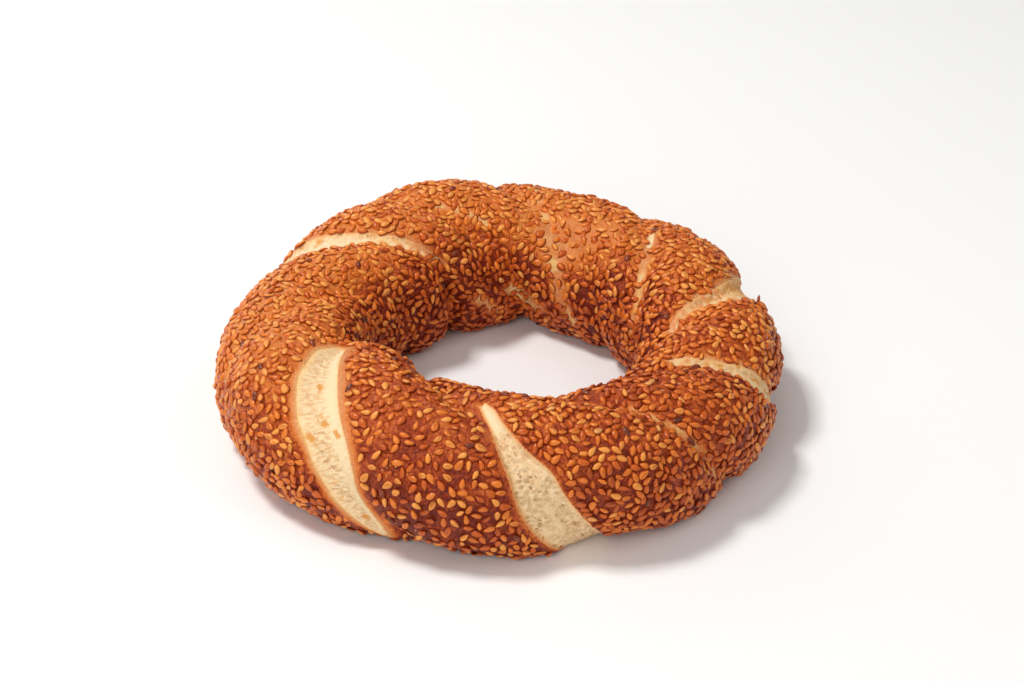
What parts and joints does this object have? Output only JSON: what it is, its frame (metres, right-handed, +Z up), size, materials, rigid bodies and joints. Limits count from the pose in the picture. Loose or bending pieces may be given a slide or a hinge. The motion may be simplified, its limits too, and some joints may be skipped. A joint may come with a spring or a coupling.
{
  "type": "simit",
  "caption": "Thick baked bread ring twisted from two ropes of dough, with torn creases and toasted sesame seeds, flat underneath",
  "frame": {"origin": "middle of the bounding box in X and Y, on the flat underside at z = 0", "axes": "+Z up through the hole of the ring, square to its flat underside; the picture looks along +Y, with +X to its right"},
  "size_m": [0.1694, 0.1752, 0.0422],
  "materials": {
    "crust": "browned bread crust under toasted sesame seeds",
    "crumb": "torn, porous white crumb",
    "sesame_seeds": "toasted sesame seeds, slightly glossy"
  },
  "bodies": {
    "root": {"simit": "crust"}
  },
  "joints": []
}
